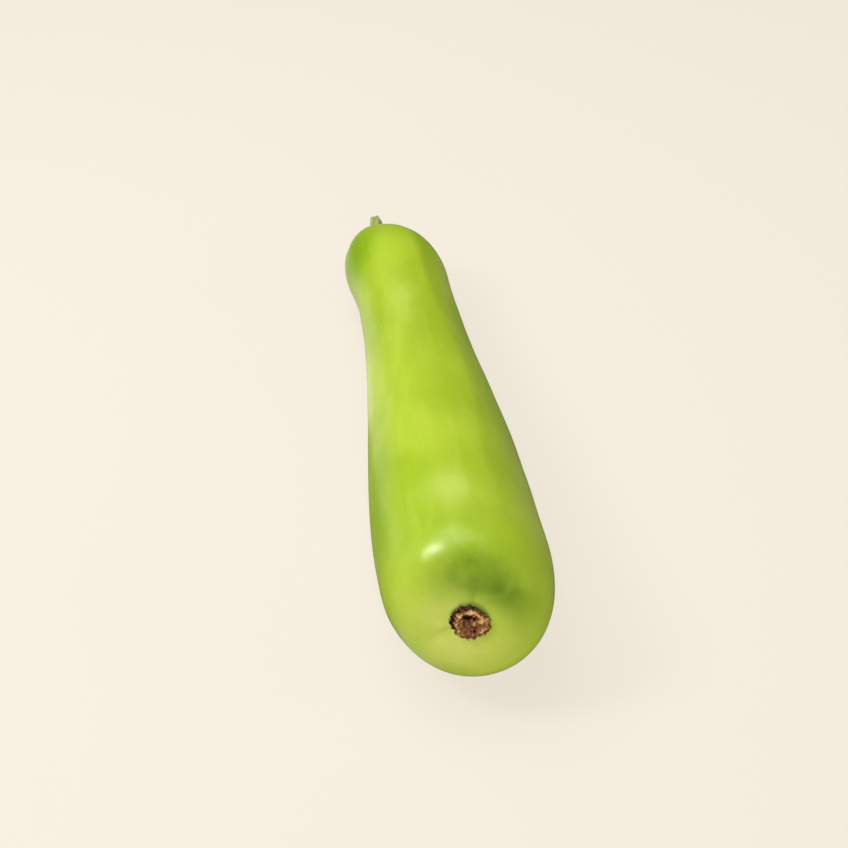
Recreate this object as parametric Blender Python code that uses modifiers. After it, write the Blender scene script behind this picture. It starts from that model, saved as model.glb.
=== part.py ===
"""Bottle gourd, as picked, lying on its side.

The gourd lies along Y, with the blunt blossom end towards -Y and the stalk towards +Y. The fruit
grew as one piece. It is turned about a straight middle line first, and then bent, tilted and
settled on the ground by formulas. All sizes are in metres, and +Z is up.
"""

import math

import bmesh
import bpy
from mathutils import Vector

# Fruit: its length, and the round parts that close its two ends
FRUIT_LENGTH = 0.370
BLOSSOM_END_LENGTH = 0.058
BLOSSOM_END_BLUNTNESS = 3.4
STEM_END_LENGTH = 0.044
STEM_END_BLUNTNESS = 2.15

# Radius of the body, as (share of the length from the blossom end, radius)
GIRTH = (
    (0.00, 0.0425), (0.12, 0.0425), (0.25, 0.0418), (0.38, 0.0388), (0.50, 0.0350), (0.62, 0.0310),
    (0.72, 0.0289), (0.80, 0.0283), (0.87, 0.0294), (0.93, 0.0302), (1.00, 0.0304),
)

# Sideways sweep of the middle line, as (share of the length, distance towards +X)
SWEEP = (
    (0.00, 0.0000), (0.08, 0.0020), (0.20, 0.0010), (0.40, 0.0017),
    (0.60, 0.0008), (0.75, -0.0003), (0.88, -0.0030), (1.00, -0.0127),
)

# Where the gourd touches the ground, and how far it is pressed flat there
BELLY_REST = 0.22
HEAD_REST = 0.885
BELLY_FLAT_DEPTH = 0.0015
HEAD_FLAT_DEPTH = 0.0019

# The blossom end lifts a little, and its face looks upwards and to one side
BLOSSOM_LIFT = 0.006
BLOSSOM_LIFT_SHARE = 0.45
FACE_SHIFT = (-0.0021, 0.0, 0.0058)
FACE_TILT_UP = math.radians(12)
FACE_TILT_LEFT = math.radians(6)
FACE_RIGID_DEPTH = 0.005

# Shape of the skin: faint flats round the body, and one sloping shoulder on the head
FLATS = ((3, 0.003, 0.7), (5, 0.0025, 2.1))
SHOULDER_SLOPE = 0.47
SHOULDER_LENGTH = 0.060

# Blossom end: a shallow dish with the seat of the dry blossom in its middle
DISH_DEPTH = 0.0016
DISH_RADIUS = 0.016
SEAT_RADIUS = 0.0073
SEAT_DEPTH = 0.0024

# Stem end: a dimple with furrows that run out from the socket of the stalk
DIMPLE_DEPTH = 0.011
DIMPLE_RADIUS = 0.017
SOCKET_RADIUS = 0.0064
SOCKET_DEPTH = 0.006
FURROW_WIDTH = 0.0028
# Each furrow, as (angle in degrees from +X, depth, reach from the middle)
FURROWS = (
    (18, 0.0016, 0.021), (66, 0.0026, 0.030), (112, 0.0015, 0.020), (158, 0.0024, 0.030),
    (208, 0.0018, 0.023), (262, 0.0027, 0.034), (312, 0.0017, 0.022),
)

# Stalk: the points that its middle follows beyond the socket, each with its radius
STALK_BEND = (
    ((-0.0125, 0.3735, 0.0266), 0.0046),
    ((-0.0108, 0.3840, 0.0252), 0.0039),
    ((-0.0092, 0.3945, 0.0217), 0.0036),
    ((-0.0087, 0.4045, 0.0168), 0.0037),
    ((-0.0086, 0.4095, 0.0141), 0.0039),
)
STALK_ROOT_RADIUS = 0.0059
STALK_ROOT_LENGTH = 0.0085
STALK_RIBS = 5
STALK_RIB_HEIGHT = 0.11
STALK_SIDES = 25
STALK_CUT_INSET = 0.0012
STALK_CUT_DENT = 0.0006

# Dry blossom: a torn collar round a wrinkled disc with an off-centre pit
COLLAR_RADIUS = 0.0086
COLLAR_HEIGHT = 0.0014
# Ragged outline of the collar, as (waves round it, share of the radius, phase)
COLLAR_WAVES = (
    (2, 0.080, 0.5), (3, 0.032, -0.5), (4, 0.033, 0.9), (7, 0.022, 3.0), (11, 0.034, 1.9), (17, 0.028, 4.0),
)
CREST_RADIUS = 0.0062
CREST_HEIGHT = 0.0026
DISC_HEIGHT = 0.0013
WRINKLES = ((9, 0.00022, 0.5), (14, 0.00018, 2.6))
PIT_PLACE = (-0.0008, 0.0026)
PIT_SIZE = (0.0025, 0.0011)
PIT_DEPTH = 0.0016
CREST_LEAN = 0.45

# Gap between pieces that sit in one another
FIT_GAP = 0.0003

# Divisions of the meshes
FRUIT_SIDES = 54
BLOSSOM_END_RINGS = 15
BODY_RINGS = 24
STEM_END_RINGS = 14
SCAR_SIDES = 48
MERGE_DISTANCE = 0.00005


def smooth_between(stations, share):
    """Value at a share of the length, on a smooth curve through (share, value) stations."""
    index = 0
    while index < len(stations) - 2 and share > stations[index + 1][0]:
        index += 1
    (start, start_value), (end, end_value) = stations[index], stations[index + 1]
    before = stations[max(index - 1, 0)]
    after = stations[min(index + 2, len(stations) - 1)]
    start_slope = (end_value - before[1]) / (end - before[0])
    end_slope = (after[1] - start_value) / (after[0] - start)
    span = end - start
    t = min(max((share - start) / span, 0.0), 1.0)
    return (
        (2 * t**3 - 3 * t**2 + 1) * start_value
        + (t**3 - 2 * t**2 + t) * span * start_slope
        + (3 * t**2 - 2 * t**3) * end_value
        + (t**3 - t**2) * span * end_slope
    )


def ease(value, low, high):
    """0 below low, 1 above high, and a smooth step between them."""
    t = min(max((value - low) / (high - low), 0.0), 1.0)
    return t * t * (3 - 2 * t)


def girth(distance):
    """Radius of the body at a distance from the blossom end."""
    return smooth_between(GIRTH, distance / FRUIT_LENGTH)


def blossom_dish(radius):
    """How far the blossom end dips at a radius from its middle."""
    return DISH_DEPTH * math.exp(-((radius / DISH_RADIUS) ** 2))


def stem_dimple(radius):
    """How far the stem end dips at a radius from its middle."""
    return DIMPLE_DEPTH * (1 - ease(radius, 0.0, DIMPLE_RADIUS))


def blossom_end_point(angle):
    """Point (radius, distance) of the blossom end, from its middle (0) to its full width (90 deg)."""
    power = 2 / BLOSSOM_END_BLUNTNESS
    distance = BLOSSOM_END_LENGTH * (1 - math.cos(angle) ** power)
    radius = girth(distance) * math.sin(angle) ** power
    return radius, distance + blossom_dish(radius)


def stem_end_point(angle):
    """Point (radius, distance) of the stem end, from its middle (0) to its full width (90 deg)."""
    power = 2 / STEM_END_BLUNTNESS
    distance = FRUIT_LENGTH - STEM_END_LENGTH * (1 - math.cos(angle) ** power)
    radius = girth(distance) * math.sin(angle) ** power
    return radius, distance - stem_dimple(radius)


def end_angles(end_point, inner_radius, rings):
    """Angles of the rings of one end, starting at the ring that has the inner radius."""
    low, high = 0.0, math.pi / 2
    for _ in range(40):
        middle = (low + high) / 2
        if end_point(middle)[0] < inner_radius:
            low = middle
        else:
            high = middle
    return [low + (math.pi / 2 - 0.001 - low) * step / rings for step in range(rings + 1)]


def socket_rim():
    """Distance of the rim of the stalk's socket from the blossom end."""
    angle = end_angles(stem_end_point, SOCKET_RADIUS, STEM_END_RINGS)[0]
    return stem_end_point(angle)[1]


def seat_rim():
    """Distance of the rim of the dry blossom's seat, along the fruit."""
    angle = end_angles(blossom_end_point, SEAT_RADIUS, BLOSSOM_END_RINGS)[0]
    return blossom_end_point(angle)[1]


def fruit_profile():
    """Half outline of the straight fruit, from the socket at the top to the seat at the bottom."""
    socket_floor = socket_rim() - SOCKET_DEPTH
    seat_floor = seat_rim() + SEAT_DEPTH
    stem_angles = end_angles(stem_end_point, SOCKET_RADIUS, STEM_END_RINGS)
    blossom_angles = end_angles(blossom_end_point, SEAT_RADIUS, BLOSSOM_END_RINGS)
    points = [(0.0, socket_floor), (SOCKET_RADIUS, socket_floor)]
    points += [stem_end_point(angle) for angle in stem_angles]
    body_top = FRUIT_LENGTH - STEM_END_LENGTH
    body_length = body_top - BLOSSOM_END_LENGTH
    for ring in range(1, BODY_RINGS):
        distance = body_top - body_length * ring / BODY_RINGS
        points.append((girth(distance), distance))
    points += [blossom_end_point(angle) for angle in reversed(blossom_angles)]
    points += [(SEAT_RADIUS, seat_floor), (0.0, seat_floor)]
    return points


def middle_line(distance):
    """Point of the fruit's bent middle line at a distance from the blossom end."""
    share = distance / FRUIT_LENGTH
    belly_height = girth(BELLY_REST * FRUIT_LENGTH) - BELLY_FLAT_DEPTH
    head_height = girth(HEAD_REST * FRUIT_LENGTH) - HEAD_FLAT_DEPTH
    slope = (head_height - belly_height) / (HEAD_REST - BELLY_REST)
    lift = BLOSSOM_LIFT * max(1 - share / BLOSSOM_LIFT_SHARE, 0.0) ** 2
    height = belly_height + slope * (share - BELLY_REST) + lift
    return Vector((smooth_between(SWEEP, share), distance, height))


def line_frame(distance):
    """Middle point, direction, and the directions to the right and up across the fruit."""
    step = 0.001
    direction = (middle_line(distance + step) - middle_line(distance - step)).normalized()
    right = direction.cross(Vector((0, 0, 1))).normalized()
    return middle_line(distance), direction, right, right.cross(direction)


def skin_swell(radius, angle, distance):
    """Share that the radius changes by: the faint flats and the sloping shoulder of the head."""
    flats = sum(height * math.cos(count * angle + phase) for count, height, phase in FLATS)
    flats *= ease(radius, SEAT_RADIUS, 2 * SEAT_RADIUS)
    near_stem = max(1 - (FRUIT_LENGTH - distance) / SHOULDER_LENGTH, 0.0) ** 2
    slope = SHOULDER_SLOPE * near_stem * (1 + math.cos(angle)) / 2
    return flats - slope * ease(radius, SOCKET_RADIUS, 2 * SOCKET_RADIUS)


def furrow_depth(radius, angle, distance):
    """Depth of the furrows that run out from the stalk."""
    if distance < FRUIT_LENGTH - 1.2 * STEM_END_LENGTH:
        return 0.0
    depth = 0.0
    for heading, deepest, reach in FURROWS:
        turn = math.remainder(angle - math.radians(heading), math.tau)
        across = radius * math.sin(min(abs(turn), math.pi / 2))
        start = ease(radius, SOCKET_RADIUS + FIT_GAP, 1.35 * SOCKET_RADIUS)
        fade = 1 - ease(radius, 0.45 * reach, reach)
        depth += deepest * start * fade * math.exp(-((across / FURROW_WIDTH) ** 2))
    return depth


def settle(point, right_up, distance):
    """Bend one point of the straight fruit along the middle line and tilt the blossom face."""
    middle, _, right, up = line_frame(distance)
    placed = middle + right * right_up[0] + up * right_up[1]
    reach = BLOSSOM_END_LENGTH - FACE_RIGID_DEPTH
    near_face = max(1 - max(distance - FACE_RIGID_DEPTH, 0.0) / reach, 0.0) ** 2
    from_middle = placed - middle
    tilt = math.tan(FACE_TILT_UP) * from_middle.z - math.tan(FACE_TILT_LEFT) * from_middle.x
    placed += near_face * (Vector(FACE_SHIFT) + Vector((0, tilt, 0)))
    placed.z = max(placed.z, 0.0)
    return placed


def turned_mesh(name, points, sides):
    """Mesh of a profile of (radius, height) points turned about Z, top point first."""
    profile = bpy.data.meshes.new(name + "_profile")
    edges = [(index, index + 1) for index in range(len(points) - 1)]
    profile.from_pydata([(radius, 0, height) for radius, height in points], edges, [])
    turned = bpy.data.objects.new(name + "_turned", profile)
    bpy.context.scene.collection.objects.link(turned)
    screw = turned.modifiers.new("Turn", "SCREW")
    screw.axis = "Z"
    screw.steps = sides
    screw.render_steps = sides
    screw.use_merge_vertices = True
    screw.merge_threshold = MERGE_DISTANCE
    mesh = evaluated_mesh(turned)
    bpy.data.objects.remove(turned)
    return mesh


def evaluated_mesh(source):
    """Plain mesh of an object as its modifiers leave it."""
    depsgraph = bpy.context.evaluated_depsgraph_get()
    return bpy.data.meshes.new_from_object(source.evaluated_get(depsgraph))


def plain_material(name, colour, roughness):
    """Principled material of one colour."""
    material = bpy.data.materials.new(name)
    material.use_nodes = True
    shader = material.node_tree.nodes["Principled BSDF"]
    shader.inputs["Base Color"].default_value = (*colour, 1.0)
    shader.inputs["Roughness"].default_value = roughness
    shader.inputs["Metallic"].default_value = 0.0
    return material


def add_piece(name, mesh, material, collection):
    """Object of one finished mesh, shaded smooth, in the gourd's collection."""
    mesh.name = name
    mesh.materials.clear()
    mesh.materials.append(material)
    mesh.shade_smooth()
    mesh.set_sharp_from_angle(angle=math.radians(40))
    piece = bpy.data.objects.new(name, mesh)
    collection.objects.link(piece)
    return piece


def make_fruit(collection):
    """The whole fruit: turned, furrowed, bent and settled on the ground."""
    mesh = turned_mesh("fruit", fruit_profile(), FRUIT_SIDES)
    normals = [vertex.normal.copy() for vertex in mesh.vertices]
    for vertex, normal in zip(mesh.vertices, normals):
        straight = vertex.co.copy()
        radius = math.hypot(straight.x, straight.y)
        angle = math.atan2(-straight.y, straight.x)
        distance = straight.z
        straight -= normal * furrow_depth(radius, angle, distance)
        swell = 1 + skin_swell(radius, angle, distance)
        right_up = (straight.x * swell, -straight.y * swell)
        vertex.co = settle(straight, right_up, straight.z)
    material = plain_material("green skin", (0.36, 0.55, 0.07), 0.38)
    return add_piece("fruit", mesh, material, collection)


def rib_outline(collection):
    """Closed curve across the stalk: a circle with ribs, one unit in radius."""
    outline = bpy.data.curves.new("stalk_outline", "CURVE")
    outline.dimensions = "2D"
    outline.fill_mode = "NONE"
    spline = outline.splines.new("POLY")
    spline.points.add(STALK_SIDES - 1)
    for index, point in enumerate(spline.points):
        angle = -math.tau * index / STALK_SIDES
        reach = 1 - STALK_RIB_HEIGHT * (1 - math.cos(STALK_RIBS * angle)) / 2
        point.co = (reach * math.cos(angle), reach * math.sin(angle), 0, 1)
    spline.use_cyclic_u = True
    guide = bpy.data.objects.new("stalk_outline", outline)
    guide.hide_render = True
    guide.display_type = "WIRE"
    collection.objects.link(guide)
    return guide


def stalk_route():
    """Points of the stalk's middle with their radii, from its root in the socket to its cut end."""
    rim = socket_rim()
    root_end = rim - SOCKET_DEPTH + FIT_GAP
    middle, direction, _, _ = line_frame(root_end)
    inner_radius = STALK_ROOT_RADIUS
    route = [(middle, inner_radius), (middle + direction * STALK_ROOT_LENGTH, inner_radius * 0.94)]
    route += [(Vector(place), radius) for place, radius in STALK_BEND]
    return route


def dent_cut_end(work):
    """Sink the pith of the stalk's cut end a little below its rim."""
    end_triangles = [face for face in work.faces if len(face.verts) == 3]
    cut_triangles = [face for face in end_triangles if face.calc_center_median().y > FRUIT_LENGTH]
    cut = bmesh.ops.dissolve_faces(work, faces=cut_triangles)["region"][0]
    bmesh.ops.inset_region(work, faces=[cut], thickness=STALK_CUT_INSET, use_even_offset=True)
    for vertex in cut.verts:
        vertex.co -= cut.normal * STALK_CUT_DENT


def make_stalk(collection, guides):
    """The ribbed stalk: a swept curve with a flared root and a cut end."""
    curve = bpy.data.curves.new("stalk_curve", "CURVE")
    curve.dimensions = "3D"
    curve.twist_mode = "MINIMUM"
    curve.bevel_mode = "OBJECT"
    curve.bevel_object = rib_outline(guides)
    curve.use_fill_caps = True
    curve.resolution_u = 5
    route = stalk_route()
    spline = curve.splines.new("BEZIER")
    spline.bezier_points.add(len(route) - 1)
    for point, (place, radius) in zip(spline.bezier_points, route):
        point.co = place
        point.radius = radius
        point.handle_left_type = "AUTO"
        point.handle_right_type = "AUTO"
    swept = bpy.data.objects.new("stalk_curve", curve)
    bpy.context.scene.collection.objects.link(swept)
    mesh = evaluated_mesh(swept)
    bpy.data.objects.remove(swept)
    work = bmesh.new()
    work.from_mesh(mesh)
    bmesh.ops.remove_doubles(work, verts=work.verts, dist=MERGE_DISTANCE)
    bmesh.ops.recalc_face_normals(work, faces=work.faces)
    dent_cut_end(work)
    work.to_mesh(mesh)
    work.free()
    material = plain_material("green stalk", (0.37, 0.42, 0.12), 0.55)
    return add_piece("stalk", mesh, material, collection)


def scar_profile():
    """Half outline of the dry blossom, from its seat in the fruit out to the middle of its disc.

    Heights are along the fruit, so what stands out of the fruit has a smaller height.
    """
    rim = seat_rim()
    seat_floor = rim + SEAT_DEPTH
    seated_radius = SEAT_RADIUS - FIT_GAP
    points = [(0.0, seat_floor - FIT_GAP), (seated_radius, seat_floor - FIT_GAP)]
    points += [(seated_radius, rim - FIT_GAP), (COLLAR_RADIUS, rim - COLLAR_HEIGHT)]
    crest = rim - CREST_HEIGHT
    disc = rim - DISC_HEIGHT
    points += [(0.96 * COLLAR_RADIUS, rim - 1.25 * COLLAR_HEIGHT), (1.12 * CREST_RADIUS, crest)]
    points += [(CREST_RADIUS, crest), (0.86 * CREST_RADIUS, (crest + disc) / 2)]
    points += [(share * CREST_RADIUS, disc) for share in (0.72, 0.58, 0.44, 0.30, 0.16, 0.0)]
    return points


def make_blossom_scar(collection):
    """The dry blossom: a turned button, torn and wrinkled by formulas."""
    mesh = turned_mesh("blossom_scar", scar_profile(), SCAR_SIDES)
    rim = seat_rim()
    for vertex in mesh.vertices:
        right, up, distance = vertex.co.x, -vertex.co.y, vertex.co.z
        radius = math.hypot(right, up)
        angle = math.atan2(up, right)
        proud = ease(rim - distance, 1.5 * FIT_GAP, COLLAR_HEIGHT)
        outer = proud * ease(radius, 0.8 * CREST_RADIUS, COLLAR_RADIUS)
        on_disc = proud * ease(radius, 0.2 * CREST_RADIUS, CREST_RADIUS)
        torn = sum(share * math.cos(count * angle + phase) for count, share, phase in COLLAR_WAVES)
        ripple = sum(size * math.cos(count * angle + phase) for count, size, phase in WRINKLES)
        lean = CREST_LEAN * (CREST_HEIGHT - DISC_HEIGHT) * math.sin(angle)
        pit = math.hypot((right - PIT_PLACE[0]) / PIT_SIZE[0], (up - PIT_PLACE[1]) / PIT_SIZE[1])
        right *= 1 + torn * outer
        up *= 1 + torn * outer
        distance += proud * PIT_DEPTH * math.exp(-(pit**2)) - on_disc * (ripple + lean)
        vertex.co = settle(vertex.co, (right, up), distance)
    material = plain_material("dry blossom", (0.19, 0.09, 0.04), 0.85)
    return add_piece("blossom_scar", mesh, material, collection)


def centre_on_ground(pieces):
    """Move the finished meshes so that the middle of their box stands over the origin."""
    corners = [vertex.co for piece in pieces for vertex in piece.data.vertices]
    middle_x = (min(co.x for co in corners) + max(co.x for co in corners)) / 2
    middle_y = (min(co.y for co in corners) + max(co.y for co in corners)) / 2
    for piece in pieces:
        for vertex in piece.data.vertices:
            vertex.co -= Vector((middle_x, middle_y, 0))


def new_collection(name):
    """Collection of that name in the scene."""
    collection = bpy.data.collections.new(name)
    bpy.context.scene.collection.children.link(collection)
    return collection


def main():
    for leftover in list(bpy.data.objects):
        bpy.data.objects.remove(leftover)
    gourd = new_collection("bottle_gourd")
    guides = new_collection("guides")
    pieces = [make_fruit(gourd), make_stalk(gourd, guides), make_blossom_scar(gourd)]
    centre_on_ground(pieces)


main()
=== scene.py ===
"""Looks of a bottle gourd lying on a pale floor, laid out as a Blender add-on."""

import math

import bmesh
import bpy
import numpy as np
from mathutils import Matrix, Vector, noise


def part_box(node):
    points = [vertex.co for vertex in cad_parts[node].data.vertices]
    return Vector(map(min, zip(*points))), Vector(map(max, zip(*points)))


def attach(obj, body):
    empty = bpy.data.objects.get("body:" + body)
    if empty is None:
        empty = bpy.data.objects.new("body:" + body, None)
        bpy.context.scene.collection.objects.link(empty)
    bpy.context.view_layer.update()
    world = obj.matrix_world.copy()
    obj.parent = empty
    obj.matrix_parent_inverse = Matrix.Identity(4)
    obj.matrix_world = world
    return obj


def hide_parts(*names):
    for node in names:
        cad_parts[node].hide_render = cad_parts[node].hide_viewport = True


bl_info = {
    "name": "Bottle Gourd",
    "version": (1, 0, 0),
    "blender": (4, 5, 0),
    "location": "3D View > Sidebar > Gourd",
    "description": "Dresses a bottle gourd with waxy skin, a ribbed stalk and a dry blossom",
    "category": "Object",
}

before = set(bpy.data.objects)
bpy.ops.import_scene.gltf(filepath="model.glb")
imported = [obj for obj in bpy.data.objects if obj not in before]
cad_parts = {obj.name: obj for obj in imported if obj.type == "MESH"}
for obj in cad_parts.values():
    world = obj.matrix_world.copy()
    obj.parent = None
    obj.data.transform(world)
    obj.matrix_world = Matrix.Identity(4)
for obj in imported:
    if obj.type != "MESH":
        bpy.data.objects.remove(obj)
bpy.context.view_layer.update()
BODY = "root"

# Shape of the fruit, in metres, with the blossom end at distance 0
FRUIT_LENGTH = 0.370
BLOSSOM_END_LENGTH = 0.058
BLOSSOM_END_BLUNTNESS = 3.4
STEM_END_LENGTH = 0.044
STEM_END_BLUNTNESS = 2.15

# Angle of an end's last ring, just short of the quarter turn at which the body starts
LAST_RING_ANGLE = math.pi / 2 - 0.001

# Radius of the body, and how far its middle line bends to +X: (share of the length, value)
GIRTH = (
    (0.00, 0.0425), (0.12, 0.0425), (0.25, 0.0418), (0.38, 0.0388), (0.50, 0.0350), (0.62, 0.0310),
    (0.72, 0.0289), (0.80, 0.0283), (0.87, 0.0294), (0.93, 0.0302), (1.00, 0.0304),
)
SWEEP = (
    (0.00, 0.0000), (0.08, 0.0020), (0.20, 0.0010), (0.40, 0.0017),
    (0.60, 0.0008), (0.75, -0.0003), (0.88, -0.0030), (1.00, -0.0127),
)

# The fruit rests on flats at these shares of its length, and its blossom end lifts and tilts
BELLY_REST = 0.22
HEAD_REST = 0.885
BELLY_FLAT_DEPTH = 0.0015
HEAD_FLAT_DEPTH = 0.0019
BLOSSOM_LIFT = 0.006
BLOSSOM_LIFT_SHARE = 0.45
FACE_SHIFT = (-0.0021, 0.0, 0.0058)
FACE_TILT_UP = math.radians(12)
FACE_TILT_LEFT = math.radians(6)
FACE_RIGID_DEPTH = 0.005

# Faint flats round the body: (count, share of the radius, phase)
FLATS = ((3, 0.003, 0.7), (5, 0.0025, 2.1))

# Shoulder of the head, dish and seat of the dry blossom, dimple and socket of the stalk
SHOULDER_SLOPE = 0.47
SHOULDER_LENGTH = 0.060
DISH_DEPTH = 0.0016
DISH_RADIUS = 0.016
SEAT_RADIUS = 0.0073
SEAT_DEPTH = 0.0024
DIMPLE_DEPTH = 0.011
DIMPLE_RADIUS = 0.017
SOCKET_RADIUS = 0.0064
SOCKET_DEPTH = 0.006

# Furrows that run out from the stalk: (heading in degrees, depth, reach), and the depth at
# which a furrow has its full colour
FURROW_WIDTH = 0.0028
FURROWS = (
    (18, 0.0016, 0.021), (66, 0.0026, 0.030), (112, 0.0015, 0.020), (158, 0.0024, 0.030),
    (208, 0.0018, 0.023), (262, 0.0027, 0.034), (312, 0.0017, 0.022),
)
FULL_FURROW = 0.0026

# The skin closes in on the stalk and the dry blossom, past the clearance of the solids
SKIN_GRIP = 0.0007

# Height above the ground by which the skin's relief has reached its full strength
GROUND_CLEARANCE = 0.004

# Finer creases than the solids have: (count round, depth, phase, inner radius, outer radius)
STEM_CREASES = ((23, 0.00022, 0.4, 0.0060, 0.015), (37, 0.00012, 1.7, 0.0060, 0.012))
FACE_CREASES = ((5, 0.00042, 0.9, 0.0080, 0.036), (8, 0.00028, 2.2, 0.0080, 0.024))

# Stalk: the points that its middle follows beyond its root, each with its radius
STALK_BEND = (
    ((-0.0125, 0.3735, 0.0266), 0.0046), ((-0.0108, 0.3840, 0.0252), 0.0039),
    ((-0.0092, 0.3945, 0.0217), 0.0036), ((-0.0087, 0.4045, 0.0168), 0.0037),
    ((-0.0086, 0.4095, 0.0141), 0.0039),
)
STALK_ROOT_RADIUS = 0.0059
STALK_ROOT_LENGTH = 0.0085
FIBRE_SCALES = (1400, 60, 1400)

# Steps from the rim of the cut end to its pith: (width as a share of the inset, sink as a
# share of the dent, paleness)
CUT_STEPS = ((0.2, -0.1, 0.0), (0.25, 0.15, 0.5), (0.3, 0.5, 1.0), (0.8, 0.45, 1.0))
CUT_GRAIN = 900
MERGE_DISTANCE = 0.00001

# Soft ridges along the body: (heading in degrees from +X, height, width in degrees)
RIDGES = (
    (66, 0.00055, 9), (116, 0.00045, 11), (162, 0.00035, 12),
    (206, 0.0004, 12), (338, 0.0004, 12), (18, 0.0003, 12),
)

# Bands of painted light and shade on the green: pale bands are painted sheen and reflections, deep
# bands are
# painted shade: (heading and width in degrees, place along the fruit and reach as shares of its
# length, paleness)
PAINTED_LIGHT_BANDS = (
    (148, 34, 0.90, 0.10, -0.90), (173, 21, 0.53, 0.17, 1.05), (102, 26, 0.66, 0.12, 0.45),
    (98, 30, 0.16, 0.07, 0.70), (35, 24, 0.20, 0.12, 0.45), (160, 30, 0.20, 0.10, -0.80),
    (57, 13, 0.84, 0.14, -0.50), (36, 24, 0.60, 0.16, -0.30), (150, 22, 0.36, 0.16, -0.25),
    (270, 60, 0.45, 0.30, 0.35),
)

# Colour round the blossom: a pale halo, lighter on its lower left as painted floor bounce; a corky
# rim, darker on its upper right as painted shade; and painted shade on the shoulder above
FACE_COLOUR_FADE = (0.030, 0.080)
# The halo's lower left side is lighter as painted floor bounce
BOUNCE_HEADING = math.radians(235)
HALO_WIDTH = 0.043
# The rim's upper right side is darker as painted shade
RIM_SHADE_HEADING = math.radians(50)
RIM_WIDTH = 0.0026
# Painted shade on the shoulder above the blossom
PAINTED_SHADE_HEADING = math.radians(68)
PAINTED_SHADE_SPREAD = math.radians(62)
PAINTED_SHADE_DEEPEST = math.radians(40)
PAINTED_SHADE_RADIUS = 0.0225
PAINTED_SHADE_WIDTH = 0.0105

# Dry blossom: a torn collar round a raised crest and a wrinkled disc with an off-centre pit
SEAT_GAP = 0.0003
COLLAR_RADIUS = 0.0086
COLLAR_HEIGHT = 0.0014
COLLAR_WAVES = (
    (2, 0.080, 0.5), (3, 0.032, -0.5), (4, 0.033, 0.9),
    (7, 0.022, 3.0), (11, 0.034, 1.9), (17, 0.028, 4.0),
)
CREST_RADIUS = 0.0062
CREST_HEIGHT = 0.0026
CREST_TURN = math.radians(8)
DARK_SIDE = math.radians(130)
DISC_HEIGHT = 0.0013
PIT_PLACE = (-0.0008, 0.0026)
PIT_SIZE = (0.0025, 0.0011)
PIT_DEPTH = 0.0018

# Cut through the dry blossom, from under its collar to its middle: (share, radius, depth)
BLOSSOM_PROFILE = (
    (0.00, SEAT_RADIUS - SEAT_GAP, SEAT_DEPTH - SEAT_GAP),
    (0.10, SEAT_RADIUS - SEAT_GAP, 0.0002),
    (0.20, COLLAR_RADIUS, -COLLAR_HEIGHT),
    (0.26, 0.94 * COLLAR_RADIUS, -1.15 * COLLAR_HEIGHT),
    (0.34, 1.20 * CREST_RADIUS, -0.95 * COLLAR_HEIGHT),
    (0.42, 1.06 * CREST_RADIUS, -CREST_HEIGHT),
    (0.50, 0.94 * CREST_RADIUS, -CREST_HEIGHT),
    (0.58, 0.78 * CREST_RADIUS, -1.25 * DISC_HEIGHT),
    (0.75, 0.48 * CREST_RADIUS, -DISC_HEIGHT),
    (1.00, 0.02 * CREST_RADIUS, -1.15 * DISC_HEIGHT),
)

# View of the photograph: direction of the camera, its distance and its lens
VIEW_AZIMUTH = math.radians(-6.53)
VIEW_ELEVATION = math.radians(39.43)
VIEW_DISTANCE = 0.960
VIEW_TARGET = (-0.0058, -0.0356, 0.0400)
VIEW_LENS = 75.3

# Floor: its size, and the share of its colour that reflects the lights
FLOOR_SIZE = 12.0
FLOOR_ALBEDO = 0.14


def smooth_between(stations, share):
    """Values at shares of the length, on a smooth curve through (share, value) stations."""
    places, values = np.array(stations, float).T
    last = len(places) - 1
    before = np.maximum(np.arange(last + 1) - 1, 0)
    after = np.minimum(np.arange(last + 1) + 1, last)
    slopes = (values[after] - values[before]) / (places[after] - places[before])
    start = np.clip(np.searchsorted(places, share) - 1, 0, last - 1)
    span = places[start + 1] - places[start]
    t = np.clip((share - places[start]) / span, 0.0, 1.0)
    return (
        (2 * t**3 - 3 * t**2 + 1) * values[start]
        + (t**3 - 2 * t**2 + t) * span * slopes[start]
        + (3 * t**2 - 2 * t**3) * values[start + 1]
        + (t**3 - t**2) * span * slopes[start + 1]
    )


def ease(value, low, high):
    """0 below low, 1 above high, and a smooth step between them."""
    t = np.clip((value - low) / (high - low), 0.0, 1.0)
    return t * t * (3 - 2 * t)


def around(sides):
    """Evenly spaced angles of a full turn."""
    return np.linspace(0.0, math.tau, sides, endpoint=False)


def turn_from(angle, heading):
    """Turn from a heading to an angle, half a turn at most either way."""
    return (angle - heading + math.pi) % math.tau - math.pi


def girth(distance):
    """Radius of the body at a distance from the blossom end."""
    return smooth_between(GIRTH, np.asarray(distance) / FRUIT_LENGTH)


def blossom_end(angle):
    """Radius and distance of the blossom end, from its middle (0) to its full width (90 deg)."""
    power = 2 / BLOSSOM_END_BLUNTNESS
    distance = BLOSSOM_END_LENGTH * (1 - np.cos(angle) ** power)
    radius = girth(distance) * np.sin(angle) ** power
    return radius, distance + DISH_DEPTH * np.exp(-((radius / DISH_RADIUS) ** 2))


def stem_end(angle):
    """Radius and distance of the stem end, from its middle (0) to its full width (90 deg)."""
    power = 2 / STEM_END_BLUNTNESS
    distance = FRUIT_LENGTH - STEM_END_LENGTH * (1 - np.cos(angle) ** power)
    radius = girth(distance) * np.sin(angle) ** power
    return radius, distance - DIMPLE_DEPTH * (1 - ease(radius, 0.0, DIMPLE_RADIUS))


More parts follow.
